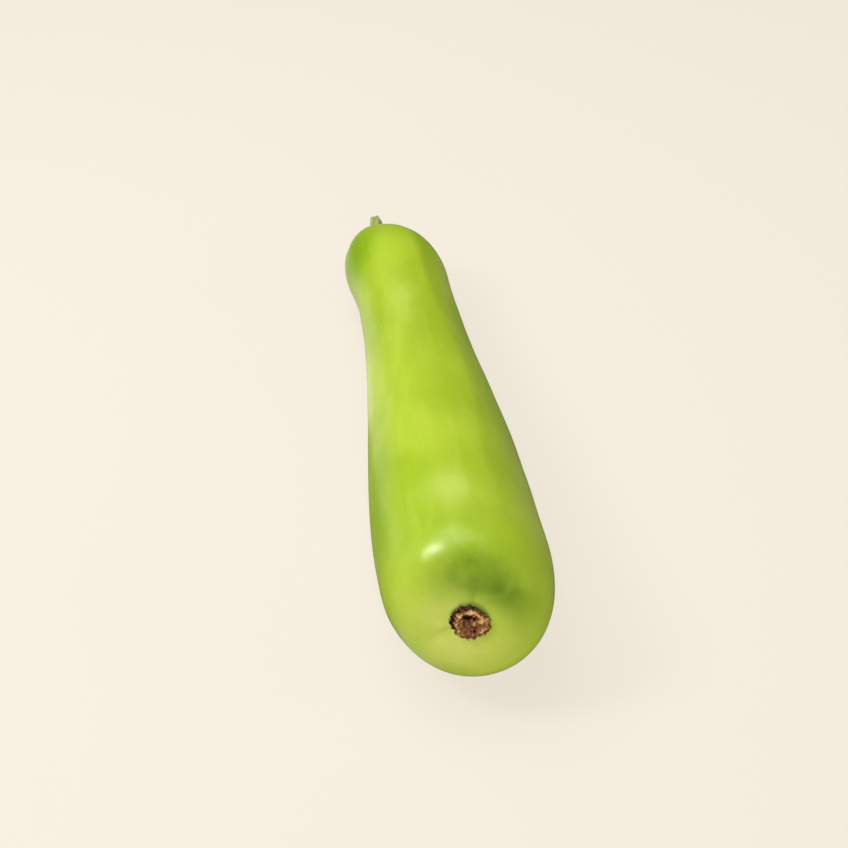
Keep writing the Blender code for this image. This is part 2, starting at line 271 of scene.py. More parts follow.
def ring_angles(end, inner_radius, rings):
    """Angles of one end's rings, from the ring of the inner radius out to the full width."""
    angles = np.linspace(0.0, LAST_RING_ANGLE, 4000)
    low = np.interp(inner_radius, end(angles)[0], angles)
    return np.linspace(low, LAST_RING_ANGLE, rings + 1)


def rim_distance(end, inner_radius):
    """Distance of the ring that has the inner radius, on one end."""
    return float(end(ring_angles(end, inner_radius, 1))[1][0])


SEAT_RIM = rim_distance(blossom_end, SEAT_RADIUS)
SOCKET_RIM = rim_distance(stem_end, SOCKET_RADIUS)


def middle_line(distance):
    """Points of the fruit's bent middle line at distances from the blossom end."""
    distance = np.asarray(distance, float)
    share = distance / FRUIT_LENGTH
    belly_height = girth(BELLY_REST * FRUIT_LENGTH) - BELLY_FLAT_DEPTH
    head_height = girth(HEAD_REST * FRUIT_LENGTH) - HEAD_FLAT_DEPTH
    slope = (head_height - belly_height) / (HEAD_REST - BELLY_REST)
    lift = BLOSSOM_LIFT * np.maximum(1 - share / BLOSSOM_LIFT_SHARE, 0.0) ** 2
    height = belly_height + slope * (share - BELLY_REST) + lift
    return np.stack([smooth_between(SWEEP, share), distance, height], -1)


def line_frame(distance):
    """Middle points, directions, and the directions to the right and up across the fruit."""
    step = 0.001
    direction = middle_line(distance + step) - middle_line(distance - step)
    direction /= np.linalg.norm(direction, axis=-1, keepdims=True)
    right = np.cross(direction, (0.0, 0.0, 1.0))
    right /= np.linalg.norm(right, axis=-1, keepdims=True)
    return middle_line(distance), direction, right, np.cross(right, direction)


def settle(reach, angle, distance):
    """Points by their reach and angle round the bent middle line, with the blossom face tilted."""
    middle, _, right, up = line_frame(distance)
    across = right * (reach * np.cos(angle))[..., None]
    placed = middle + across + up * (reach * np.sin(angle))[..., None]
    span = BLOSSOM_END_LENGTH - FACE_RIGID_DEPTH
    near_face = np.maximum(1 - np.maximum(distance - FACE_RIGID_DEPTH, 0.0) / span, 0.0) ** 2
    from_middle = placed - middle
    tilt = math.tan(FACE_TILT_UP) * from_middle[..., 2]
    tilt = tilt - math.tan(FACE_TILT_LEFT) * from_middle[..., 0]
    placed += near_face[..., None] * np.array(FACE_SHIFT)
    placed[..., 1] += near_face * tilt
    placed[..., 2] = np.maximum(placed[..., 2], 0.0)
    return placed


def middle_point(distance):
    """Point on the fruit's middle line, in the frame of the solids."""
    return settle(np.zeros(1), 0.0, np.full(1, distance))[0] + SHIFT


def skin_swell(radius, angle, distance):
    """Share that the radius changes by: faint flats and the head's sloping shoulder."""
    flats = sum(height * np.cos(count * angle + phase) for count, height, phase in FLATS)
    flats = flats * ease(radius, SEAT_RADIUS, 2 * SEAT_RADIUS)
    near_stem = np.maximum(1 - (FRUIT_LENGTH - distance) / SHOULDER_LENGTH, 0.0) ** 2
    slope = SHOULDER_SLOPE * near_stem * (1 + np.cos(angle)) / 2
    return flats - slope * ease(radius, SOCKET_RADIUS, 2 * SOCKET_RADIUS)


def furrow_depth(radius, angle, distance):
    """Depth of the furrows that run out from the stalk."""
    depth = np.zeros_like(radius * angle)
    start = ease(radius, SOCKET_RADIUS - SKIN_GRIP, 1.35 * SOCKET_RADIUS)
    for heading, deepest, reach in FURROWS:
        turn = np.minimum(np.abs(turn_from(angle, math.radians(heading))), math.pi / 2)
        fade = 1 - ease(radius, 0.45 * reach, reach)
        depth += deepest * start * fade * np.exp(-((radius * np.sin(turn) / FURROW_WIDTH) ** 2))
    return np.where(distance < FRUIT_LENGTH - 1.2 * STEM_END_LENGTH, 0.0, depth)


def crease_depth(creases, radius, angle):
    """Depth of fine creases that fan out round one end."""
    depth = 0.0
    for count, height, phase, inner, outer in creases:
        fade = ease(radius, inner, 1.3 * inner) * (1 - ease(radius, 0.5 * outer, outer))
        wander = angle + 0.25 * np.sin(3 * angle + phase)
        depth = depth + height * fade * (0.5 + 0.5 * np.cos(count * wander + phase)) ** 2
    return depth


def ridge_height(angle, distance):
    """Height of the soft ridges that run along the body and fade out towards both ends."""
    height = 0.0
    for heading, highest, width in RIDGES:
        drift = 0.10 * np.sin(9 * distance / FRUIT_LENGTH + heading)
        turn = turn_from(angle + drift, math.radians(heading))
        height = height + highest * np.exp(-((turn / math.radians(width)) ** 2))
    share = distance / FRUIT_LENGTH
    return height * ease(share, 0.05, 0.22) * (1 - 0.6 * ease(share, 0.70, 0.98))


def painted_light_paleness(angle, distance):
    """Paleness of the painted light and shade bands, from -1 for painted shade to 1 for painted sheen.
    """
    paleness = 0.0
    for heading, width, place, reach, strength in PAINTED_LIGHT_BANDS:
        across = (turn_from(angle, math.radians(heading)) / math.radians(width)) ** 2
        along = ((distance / FRUIT_LENGTH - place) / reach) ** 2
        paleness = paleness + strength * np.exp(-across - along)
    return np.clip(paleness, -1.0, 1.0)


def fruit_rings(sides):
    """Radii and distances of the fruit's rings, from the socket's rim to the seat's rim."""
    stem_angles = ring_angles(stem_end, SOCKET_RADIUS - SKIN_GRIP, sides // 3)
    blossom_angles = ring_angles(blossom_end, SEAT_RADIUS - SKIN_GRIP, sides // 3)
    stem_radius, stem_distance = stem_end(stem_angles)
    blossom_radius, blossom_distance = blossom_end(blossom_angles[::-1])
    body_length = (FRUIT_LENGTH - STEM_END_LENGTH, BLOSSOM_END_LENGTH)
    body_distance = np.linspace(*body_length, sides // 2)[1:-1]
    radius = np.concatenate([stem_radius, girth(body_distance), blossom_radius])
    distance = np.concatenate([stem_distance, body_distance, blossom_distance])
    return radius, distance


def grid_faces(rings, sides):
    """Quads between rings of points that are closed round, wound to face outwards."""
    ring, side = np.meshgrid(np.arange(rings - 1), np.arange(sides), indexing="ij")
    here, there, after = ring * sides, (ring + 1) * sides, (side + 1) % sides
    corners = [here + side, there + side, there + after, here + after]
    return np.stack(corners, -1).reshape(-1, 4)


def closed_mesh(name, rings, first_middle, last_middle):
    """Closed mesh of rings of points (rings, sides, 3), with a fan at each end."""
    count, sides, _ = rings.shape
    points = np.concatenate([rings.reshape(-1, 3), [first_middle, last_middle]])
    first, last = count * sides, count * sides + 1
    faces = grid_faces(count, sides).tolist()
    for side in range(sides):
        after = (side + 1) % sides
        faces.append((first, side, after))
        faces.append((last, (count - 1) * sides + after, (count - 1) * sides + side))
    mesh = bpy.data.meshes.new(name)
    mesh.from_pydata(points.tolist(), [], faces)
    mesh.shade_smooth()
    work = bmesh.new()
    work.from_mesh(mesh)
    bmesh.ops.recalc_face_normals(work, faces=work.faces)
    work.to_mesh(mesh)
    work.free()
    return mesh


def store(mesh, name, values):
    """Keep one number for each point under a name that the materials read."""
    attribute = mesh.attributes.new(name, "FLOAT", "POINT")
    attribute.data.foreach_set("value", np.asarray(values, np.float32).ravel())


def store_rings(mesh, name, grid):
    """Keep a number for each point of a closed mesh's rings and for its two middles."""
    store(mesh, name, np.concatenate([grid.ravel(), [grid[0, 0], grid[-1, 0]]]))


def grown_skin(sides):
    """Rings of the bent fruit, with the depth of its furrows and where each point grew."""
    radius, distance = fruit_rings(sides)
    along = np.gradient(np.stack([radius, distance], -1), axis=0)
    along /= np.linalg.norm(along, axis=-1, keepdims=True)
    normal = np.stack([-along[:, 1], along[:, 0]], -1)[:, None, :]
    angle = around(sides)[None, :]
    radius, distance = radius[:, None], distance[:, None]
    furrows = furrow_depth(radius, angle, distance)
    creases = np.where(
        distance > FRUIT_LENGTH / 2,
        crease_depth(STEM_CREASES, radius, angle), crease_depth(FACE_CREASES, radius, angle),
    )
    sunk = furrows + creases - ridge_height(angle, distance)
    swell = 1 + skin_swell(radius, angle, distance)
    reach = (radius - normal[..., 0] * sunk) * swell
    distance = distance - normal[..., 1] * sunk
    return settle(reach, angle, distance), furrows, distance, radius, angle


def frame_shift(rings):
    """Move in the ground plane from the fruit's own frame to the frame of the solids."""
    low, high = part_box("fruit")
    points = rings.reshape(-1, 3)
    middle = (points.min(0) + points.max(0)) / 2
    return np.array([(low[0] + high[0]) / 2 - middle[0], (low[1] + high[1]) / 2 - middle[1], 0.0])


SHIFT = frame_shift(grown_skin(90)[0])


def new_object(name, data):
    """Object at the origin with its place in its data."""
    piece = bpy.data.objects.new(name, data)
    bpy.context.scene.collection.objects.link(piece)
    return piece


def dress(piece, slot, *nodes):
    """Make a finished piece part of the gourd, in place of the solids that it stands for."""
    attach(piece, BODY)
    if nodes:
        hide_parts(*nodes)


def feed(tree, socket, value):
    """Link an input to an output socket, or set it to a value."""
    if isinstance(value, bpy.types.NodeSocket):
        tree.links.new(value, socket)
    else:
        socket.default_value = value


def add_node(tree, kind, inputs=(), output=0, **settings):
    """Output of a new node with its settings, and its inputs fed with sockets or values."""
    node = tree.nodes.new(kind)
    for name, value in settings.items():
        setattr(node, name, value)
    for name, value in dict(inputs).items():
        feed(tree, node.inputs[name], value)
    return node.outputs[output] if node.outputs else None


def math_node(tree, operation, *values):
    """Socket of an operation on sockets and numbers."""
    return add_node(tree, "ShaderNodeMath", dict(enumerate(values)), operation=operation)


def add(tree, first, second):
    """Socket of a sum."""
    return math_node(tree, "ADD", first, second)


def multiply(tree, first, second):
    """Socket of a product."""
    return math_node(tree, "MULTIPLY", first, second)


def less(tree, first, second):
    """Socket of a difference."""
    return math_node(tree, "SUBTRACT", first, second)


def remap(tree, value, low, high, to_low=0.0, to_high=1.0):
    """Socket of a value eased from one range to another."""
    inputs = {
        "Value": value, "From Min": low, "From Max": high, "To Min": to_low, "To Max": to_high,
    }
    return add_node(tree, "ShaderNodeMapRange", inputs, interpolation_type="SMOOTHSTEP")


def vector_node(tree, operation, *vectors, **inputs):
    """Socket of an operation on vectors."""
    inputs = {**dict(enumerate(vectors)), **inputs}
    return add_node(tree, "ShaderNodeVectorMath", inputs, operation=operation)


def object_place(tree, stretch=(1.0, 1.0, 1.0)):
    """Socket of the object coordinates, scaled along each axis."""
    place = add_node(tree, "ShaderNodeTexCoord", output="Object")
    return add_node(tree, "ShaderNodeMapping", {"Vector": place, "Scale": stretch})


def noise_value(tree, scale, detail=2.0, stretch=(1.0, 1.0, 1.0), roughness=0.5):
    """Socket of a noise on the object coordinates."""
    inputs = {
        "Vector": object_place(tree, stretch),
        "Scale": scale, "Detail": detail, "Roughness": roughness,
    }
    return add_node(tree, "ShaderNodeTexNoise", inputs)


def spot_distance(tree, scale, stretch=(1.0, 1.0, 1.0)):
    """Socket of the distance to the nearest of scattered spots."""
    inputs = {"Vector": object_place(tree, stretch), "Scale": scale}
    return add_node(tree, "ShaderNodeTexVoronoi", inputs, "Distance")


def stored_value(tree, name):
    """Socket of a number kept on the mesh."""
    return add_node(tree, "ShaderNodeAttribute", output="Fac", attribute_name=name)


def paint(tree, base, *layers):
    """Socket of a base colour, covered in turn by colours as far as their factors say."""
    colour = (*base, 1.0)
    for factor, cover in layers:
        inputs = {"Factor": factor, 6: colour, 7: (*cover, 1.0)}
        colour = add_node(tree, "ShaderNodeMix", inputs, 2, data_type="RGBA")
    return colour


def start_material(name):
    """Node material and its tree."""
    material = bpy.data.materials.new(name)
    material.use_nodes = True
    return material, material.node_tree


def finish_material(material, inputs, height=None, distance=0.0):
    """Feed the material's shader, with a bump of a height socket where there is one."""
    tree = material.node_tree
    if height is not None:
        bump = {"Height": height, "Distance": distance, "Strength": 1.0}
        inputs = {**inputs, "Normal": add_node(tree, "ShaderNodeBump", bump)}
    for name, value in inputs.items():
        feed(tree, tree.nodes["Principled BSDF"].inputs[name], value)
    return material


def skin_material(settings):
    """Waxy green skin: mottled and streaked, with bands of painted light and shade, paler round the
    blossom and lighter below it as painted floor bounce, with painted shade above it, deeper in the
    furrows.
    """
    material, tree = start_material("waxy green skin")
    mottling = remap(tree, noise_value(tree, 26.0, 3.0, (1.0, 0.55, 1.0)), 0.36, 0.66)
    streaks = noise_value(tree, 150.0, 3.0, (1.0, 0.07, 1.0))
    wander = noise_value(tree, 34.0, 3.0, (1.0, 0.4, 1.0))
    # Bands of painted light and shade, with a wandering edge
    painted_light_band = add(tree, stored_value(tree, "painted_light_band"), remap(tree, wander, 0.3, 0.7, -0.18, 0.18))
    flecks = remap(tree, spot_distance(tree, 300.0, (1.0, 0.6, 1.0)), 0.06, 0.32, 1.0, 0.0)
    fleck_patches = remap(tree, noise_value(tree, 45.0), 0.40, 0.65, 0.02, 0.22)
    scuffs = noise_value(tree, 60.0, 3.0, (1.0, 0.35, 1.0))
    scuffs = remap(tree, scuffs, 0.58, 0.80, 0.0, 0.22)
    halo_and_bounce_edge = remap(tree, noise_value(tree, 70.0, 3.0), 0.3, 0.6, 0.6, 0.9)
    painted_shade_edge = remap(tree, noise_value(tree, 55.0), 0.3, 0.6, 0.60, 0.98)
    colour = paint(
        tree, settings.deep_green,
        (mottling, settings.fresh_green),
        (remap(tree, streaks, 0.45, 0.75, 0.0, 0.15), settings.pale_green),
        (remap(tree, stored_value(tree, "along"), 0.62, 1.0, 0.0, 0.40), settings.deep_green),
        # Pale bands are painted sheen and reflections, deep bands painted shade
        (remap(tree, painted_light_band, 0.05, 1.0, 0.0, 0.75), settings.pale_green),
        (remap(tree, painted_light_band, 0.45, 1.1, 0.0, 0.55), settings.scuff_and_sheen_colour),
        (remap(tree, painted_light_band, -0.05, -1.0, 0.0, 0.9), settings.painted_shade_green),
        (multiply(tree, flecks, fleck_patches), settings.pale_green),
        (scuffs, settings.scuff_and_sheen_colour),
        # Pale halo round the blossom, lighter on its lower left as painted floor bounce
        (multiply(tree, stored_value(tree, "halo_and_bounce"), halo_and_bounce_edge), settings.halo_and_bounce_colour),
        # Painted shade on the shoulder above the blossom
        (multiply(tree, stored_value(tree, "painted_shade"), painted_shade_edge), settings.painted_shade_colour),
        (remap(tree, spot_distance(tree, 24.0), 0.012, 0.026, 0.65, 0.0), settings.mark_colour),
        (multiply(tree, stored_value(tree, "furrow"), 0.55), settings.furrow_colour),
        # Corky rim, darker on its upper right as painted shade
        (remap(tree, stored_value(tree, "rim"), 0.15, 1.0, 0.0, 0.8), settings.rim_and_shade_colour),
    )
    smoothest = settings.roughness
    gloss = remap(tree, noise_value(tree, 40.0, 1.0), 0.3, 0.7, smoothest, smoothest + 0.03)
    pores, grain = noise_value(tree, 900.0), noise_value(tree, 260.0, 3.0, (1.0, 0.15, 1.0))
    inputs = {
        "Base Color": colour,
        "Roughness": add(tree, gloss, multiply(tree, scuffs, 0.15)),
        "Subsurface Weight": 0.22,
        "Subsurface Radius": (0.5, 0.7, 0.12),
        "Subsurface Scale": 0.006,
        "Specular IOR Level": 0.25,
    }
    return finish_material(material, inputs, add(tree, pores, grain), 0.00005)


def stalk_material(settings):
    """Fibrous green stalk: pale ribs, darker grooves and a brown dried end."""
    material, tree = start_material("fibrous green stalk")
    fibres = noise_value(tree, 900.0, 4.0, (1.0, 0.06, 1.0), 0.6)
    along = stored_value(tree, "along")
    ragged = add(tree, along, multiply(tree, noise_value(tree, 700.0, 3.0), 0.035))
    crest, pith = stored_value(tree, "crest"), stored_value(tree, "pith")
    colour = paint(
        tree, settings.groove_colour,
        (remap(tree, fibres, 0.35, 0.65), settings.rib_colour),
        (remap(tree, crest, 0.3, 1.0, 0.0, 0.55), settings.pale_rib_colour),
        (remap(tree, along, 0.35, 0.12, 0.0, 0.6), settings.root_colour),
        (remap(tree, ragged, 0.955, 1.012, 0.0, 0.90), settings.dried_colour),
        (remap(tree, pith, 0.3, 0.9, 0.0, 0.9), settings.pith_colour),
    )
    inputs = {
        "Base Color": colour,
        "Roughness": 0.52,
        "Subsurface Weight": 0.12,
        "Subsurface Radius": (0.5, 0.7, 0.12),
        "Subsurface Scale": 0.002,
        "Sheen Weight": 0.12,
    }
    return finish_material(material, inputs, fibres, 0.00025)


def blossom_material(settings):
    """Dry flower remains: dark hollows, brown wrinkles and tan ridges."""
    material, tree = start_material("dry blossom")
    grain = noise_value(tree, 900.0, 5.0, roughness=0.65)
    rough = multiply(tree, remap(tree, grain, 0.3, 0.7, -1.0, 1.0), 0.22)
    raised = add(tree, stored_value(tree, "raised"), rough)
    char = remap(tree, noise_value(tree, 260.0, 3.0), 0.50, 0.68, 0.0, 0.6)
    colour = paint(
        tree, settings.hollow_colour,
        (remap(tree, raised, 0.02, 0.32), settings.wrinkle_colour),
        (remap(tree, raised, 0.42, 1.0), settings.ridge_colour),
        (multiply(tree, char, stored_value(tree, "outer")), settings.char_colour),
    )
    inputs = {"Base Color": colour, "Roughness": 0.82, "Specular IOR Level": 0.3}
    return finish_material(material, inputs, grain, 0.0003)


def flake_material(settings):
    """Brittle brown flakes, blackened in places."""
    material, tree = start_material("brittle flakes")
    grain = noise_value(tree, 420.0, 3.0)
    colour = paint(
        tree, settings.char_colour,
        (remap(tree, grain, 0.38, 0.62), settings.wrinkle_colour),
        (remap(tree, grain, 0.58, 0.78, 0.0, 0.7), settings.ridge_colour),
    )
    return finish_material(material, {"Base Color": colour, "Roughness": 0.85})


def down_material(settings):
    """Pale fine hairs."""
    material, tree = start_material("pale down")
    tips = remap(tree, noise_value(tree, 400.0), 0.3, 0.7)
    colour = paint(tree, settings.root_colour, (tips, settings.tip_colour))
    return finish_material(material, {"Base Color": colour, "Roughness": 0.6})


def start_nodes(name, **kinds):
    """Geometry node tree with named inputs of the given kinds: the tree and its inputs."""
    tree = bpy.data.node_groups.new(name, "GeometryNodeTree")
    for key, kind in {"geometry": "Geometry", **kinds, "material": "Material"}.items():
        label = key.replace("_", " ").capitalize()
        tree.interface.new_socket(label, in_out="INPUT", socket_type="NodeSocket" + kind)
    tree.interface.new_socket("Geometry", in_out="OUTPUT", socket_type="NodeSocketGeometry")
    return tree, add_node(tree, "NodeGroupInput").node.outputs


def finish_nodes(tree, given, geometry):
    """End a tree in Realize Instances and Set Material."""
    realized = add_node(tree, "GeometryNodeRealizeInstances", {"Geometry": geometry})
    inputs = {"Geometry": realized, "Material": given["Material"]}
    painted = add_node(tree, "GeometryNodeSetMaterial", inputs)
    add_node(tree, "NodeGroupOutput", {"Geometry": painted})
    return tree


def apply_nodes(piece, tree, name, **values):
    """Run a geometry node tree on an object with its inputs set, and keep the plain mesh."""
    modifier = piece.modifiers.new(tree.name, "NODES")
    modifier.node_group = tree
    for item in tree.interface.items_tree:
        key = item.name.lower().replace(" ", "_")
        if item.in_out == "INPUT" and key in values:
            modifier[item.identifier] = values[key]
    depsgraph = bpy.context.evaluated_depsgraph_get()
    mesh = bpy.data.meshes.new_from_object(piece.evaluated_get(depsgraph))
    bpy.data.objects.remove(piece)
    mesh.name = name
    return new_object(name, mesh)


def store_node(tree, geometry, name, value):
    """Socket of a geometry with a number stored on its points."""
    inputs = {"Geometry": geometry, "Name": name, "Value": value}
    return add_node(
        tree, "GeometryNodeStoreNamedAttribute", inputs, data_type="FLOAT", domain="POINT"
    )


def cone_node(tree, corners, segments, radius, length):
    """Socket of a closed pointed cone."""
    inputs = {
        "Vertices": corners, "Side Segments": segments,
        "Radius Top": 0.0, "Radius Bottom": radius, "Depth": length,
    }
    return add_node(tree, "GeometryNodeMeshCone", inputs, fill_type="NGON")


def random_vector(tree, reach, seed):
    """Socket of a random vector between the reach and its opposite."""
    inputs = {"Min": tuple(-value for value in reach), "Max": reach, "Seed": seed}
    return add_node(tree, "FunctionNodeRandomValue", inputs, data_type="FLOAT_VECTOR")


def random_size(tree, smallest, **inputs):
    """Socket of a random size up to 1."""
    inputs = {2: smallest, 3: 1.0, **inputs}
    return add_node(tree, "FunctionNodeRandomValue", inputs, 1, data_type="FLOAT")


def relief_nodes():
    """Skin relief: soft dents and finer ripples along the normals, kept off the ground flats."""
    tree, given = start_nodes(
        "Skin relief", dent_height="Float", dent_size="Float",
        ripple_height="Float", ripple_size="Float", ground_clearance="Float",
    )
    position = add_node(tree, "GeometryNodeInputPosition")
    heights = []
    for kind, detail in (("Dent", 1.0), ("Ripple", 2.0)):
        scale = math_node(tree, "DIVIDE", 1.0, given[kind + " size"])
        inputs = {"Vector": position, "Scale": scale, "Detail": detail}
        centred = less(tree, add_node(tree, "ShaderNodeTexNoise", inputs), 0.5)
        heights.append(multiply(tree, centred, given[kind + " height"]))
    level = add_node(tree, "ShaderNodeSeparateXYZ", {"Vector": position}, "Z")
    above = less(tree, math_node(tree, "DIVIDE", level, given["Ground clearance"]), 0.02)
    above = math_node(tree, "MAXIMUM", math_node(tree, "MINIMUM", above, 1.0), 0.0)
    normal = add_node(tree, "GeometryNodeInputNormal")
    offset = vector_node(tree, "SCALE", normal, Scale=multiply(tree, add(tree, *heights), above))
    inputs = {"Geometry": given["Geometry"], "Offset": offset}
    return finish_nodes(tree, given, add_node(tree, "GeometryNodeSetPosition", inputs))


def swept_nodes():
    """Ribbed stem: a ribbed outline swept along the curve, with its share of the length stored."""
    tree, given = start_nodes("Ribbed stem", ribs="Int", rib_depth="Float", sides="Int", rings="Int")
    inputs = {"Resolution": given["Sides"], "Radius": 1.0}
    circle = add_node(tree, "GeometryNodeCurvePrimitiveCircle", inputs)
    angle = multiply(tree, add_node(tree, "GeometryNodeSplineParameter"), math.tau)
    wave = math_node(tree, "COSINE", multiply(tree, angle, given["Ribs"]))
    groove = multiply(tree, less(tree, 1.0, wave), 0.5)
    outline = store_node(tree, circle, "crest", less(tree, 1.0, groove))
    reach = less(tree, 1.0, multiply(tree, groove, given["Rib depth"]))
    place = vector_node(tree, "SCALE", add_node(tree, "GeometryNodeInputPosition"), Scale=reach)
    outline = add_node(tree, "GeometryNodeSetPosition", {"Geometry": outline, "Position": place})
    inputs = {"Curve": given["Geometry"], "Count": given["Rings"]}
    path = add_node(tree, "GeometryNodeResampleCurve", inputs)
    path = store_node(tree, path, "along", add_node(tree, "GeometryNodeSplineParameter"))
    inputs = {
        "Curve": path, "Profile Curve": outline,
        "Scale": add_node(tree, "GeometryNodeInputRadius"), "Fill Caps": True,
    }
    return finish_nodes(tree, given, add_node(tree, "GeometryNodeCurveToMesh", inputs))


def hair_nodes():
    """Down: fine tapered hairs scattered over a surface where its density is above 0."""
    tree, given = start_nodes(
        "Down", hairs_per_area="Float", hair_length="Float", hair_radius="Float",
        lean="Float", seed="Int",
    )
    downy = add_node(tree, "GeometryNodeInputNamedAttribute", {"Name": "downy"}, data_type="FLOAT")
    density = multiply(tree, downy, given["Hairs per area"])
    inputs = {"Mesh": given["Geometry"], "Density": density, "Seed": given["Seed"]}
    points = add_node(tree, "GeometryNodeDistributePointsOnFaces", inputs)
    tilt = random_vector(tree, (1.0, 1.0, 0.0), given["Seed"])
    tilt = vector_node(tree, "SCALE", tilt, Scale=given["Lean"])
    inputs = {
        "Rotation": points.node.outputs["Rotation"],
        "Rotate By": add_node(tree, "FunctionNodeEulerToRotation", {"Euler": tilt}),
    }
    inputs = {
        "Points": points,
        "Instance": cone_node(tree, 3, 1, given["Hair radius"], given["Hair length"]),
        "Rotation": add_node(tree, "FunctionNodeRotateRotation", inputs, rotation_space="LOCAL"),
        "Scale": random_size(tree, 0.45),
    }
    return finish_nodes(tree, given, add_node(tree, "GeometryNodeInstanceOnPoints", inputs))


def flake_nodes():
    """Torn flakes: flat pointed slivers along a curve, each turned away from its middle."""
    tree, given = start_nodes(
        "Torn flakes", flakes="Int", flake_length="Float", flake_width="Float",
        flake_depth="Float", middle="Vector", axis="Vector", curl="Float", seed="Int",
    )
    inputs = {"Curve": given["Geometry"], "Count": given["Flakes"]}
    points = add_node(tree, "GeometryNodeResampleCurve", inputs)
    sizes = zip("XYZ", ("Flake width", "Flake depth", "Flake length"))
    shape = add_node(tree, "ShaderNodeCombineXYZ", {axis: given[size] for axis, size in sizes})
    inputs = {"Geometry": cone_node(tree, 6, 4, 1.0, 1.0), "Scale": shape}
    sliver = add_node(tree, "GeometryNodeTransform", inputs)
    position = add_node(tree, "GeometryNodeInputPosition")
    outward = vector_node(tree, "SUBTRACT", position, given["Middle"])
    outward = vector_node(tree, "NORMALIZE", outward)
    wander = random_vector(tree, (1.0, 1.0, 1.0), given["Seed"])
    curled = vector_node(tree, "SCALE", wander, Scale=given["Curl"])
    outward = vector_node(tree, "ADD", outward, curled)
    align = "FunctionNodeAlignRotationToVector"
    aim = add_node(tree, align, {"Vector": outward}, axis="Z")
    inputs = {"Rotation": aim, "Vector": given["Axis"]}
    inputs = {
        "Points": points,
        "Instance": sliver,
        "Rotation": add_node(tree, align, inputs, axis="Y", pivot_axis="Z"),
        "Scale": random_size(tree, 0.35, Seed=given["Seed"]),
    }
    return finish_nodes(tree, given, add_node(tree, "GeometryNodeInstanceOnPoints", inputs))


def colour_setting(name, description, default):
    """Colour that a user may change."""
    return bpy.props.FloatVectorProperty(
        name=name, description=description, default=default, subtype="COLOR")


def length_setting(name, description, default):
    """Length that a user may change."""
    return bpy.props.FloatProperty(
        name=name, description=description, default=default, unit="LENGTH")


def number_setting(name, description, default, **limits):
    """Number without a unit that a user may change."""
    kind = bpy.props.IntProperty if isinstance(default, int) else bpy.props.FloatProperty
    return kind(name=name, description=description, default=default, **limits)


class GourdSkin(bpy.types.PropertyGroup):
    """Sizes and colours of the fruit's skin."""

    sides: number_setting("Sides", "Divisions of the skin round the fruit", 228, min=24, max=260)
    dent_height: length_setting("Dent height", "Height of the soft dents", 0.0011)
    dent_size: length_setting("Dent size", "Distance between soft dents", 0.055)
    ripple_height: length_setting("Ripple height", "Height of the finer ripples", 0.00022)
    ripple_size: length_setting("Ripple size", "Distance between finer ripples", 0.012)
    roughness: number_setting(
        "Roughness", "Roughness of the waxy skin, where it is smoothest", 0.285, min=0.1, max=1.0)
    deep_green: colour_setting("Deep green", "Darker green of the mottling", (0.300, 0.435, 0.018))
    # Painted shade of the deep bands
    painted_shade_green: colour_setting("Painted shade green", "Deepest green of the painted shade bands", (0.170, 0.310, 0.003))
    fresh_green: colour_setting(
        "Fresh green", "Lighter green of the mottling", (0.370, 0.500, 0.030))
    # Also paints the sheen of the pale bands
    pale_green: colour_setting("Pale green", "Streaks, flecks and painted sheen on the pale bands", (0.50, 0.62, 0.10))
    # Real scuffs, and painted sheen on the palest bands
    scuff_and_sheen_colour: colour_setting("Scuffs and sheen", "Dull pale scuffs, and painted sheen on the palest bands", (0.54, 0.61, 0.22))
    # Pale skin round the blossom, with painted floor bounce on its lower left
    halo_and_bounce_colour: colour_setting("Halo and painted bounce", "Pale skin round the dry blossom, lighter on its lower left as painted floor bounce", (0.60, 0.61, 0.14))
    # Painted shade on the shoulder above the blossom
    painted_shade_colour: colour_setting(
        "Painted shade patch", "Painted shade on the shoulder above the dry blossom", (0.045, 0.12, 0.0005))
    mark_colour: colour_setting("Marks", "Small dark marks", (0.10, 0.14, 0.015))
    furrow_colour: colour_setting("Furrows", "Skin deep in the furrows", (0.10, 0.22, 0.008))
    # Corky rim, with painted shade on its upper right
    rim_and_shade_colour: colour_setting("Rim", "Corky edge round the dry blossom, darker on its upper right as painted shade", (0.13, 0.16, 0.02))


class GourdStalk(bpy.types.PropertyGroup):
    """Sizes and colours of the stalk."""

    ribs: number_setting("Ribs", "Ribs round the stalk", 5, min=3, max=9)
    rib_depth: number_setting(
        "Rib depth", "Depth of the grooves, as a share of the radius", 0.13)
    sides: number_setting("Sides", "Divisions round the stalk", 80, min=20)
    rings: number_setting("Rings", "Divisions along the stalk", 150, min=20)
    groove_height: length_setting("Groove height", "Height of the fine fibre grooves", 0.00014)
    cut_inset: length_setting("Cut inset", "Width of the rim round the pith", 0.0011)
    cut_dent: length_setting("Cut dent", "Depth of the shrunken pith", 0.0007)
    rib_colour: colour_setting("Green", "Main green of the stalk", (0.30, 0.37, 0.060))
    groove_colour: colour_setting("Grooves", "Green between the ribs", (0.22, 0.31, 0.035))
    pale_rib_colour: colour_setting("Rib crests", "Pale crests of the ribs", (0.44, 0.49, 0.15))
    root_colour: colour_setting("Root", "Green where it joins the fruit", (0.25, 0.38, 0.035))
    dried_colour: colour_setting("Dried end", "Brown of the dried end", (0.17, 0.10, 0.035))
    pith_colour: colour_setting("Pith", "Pale pith in the cut end", (0.50, 0.48, 0.22))


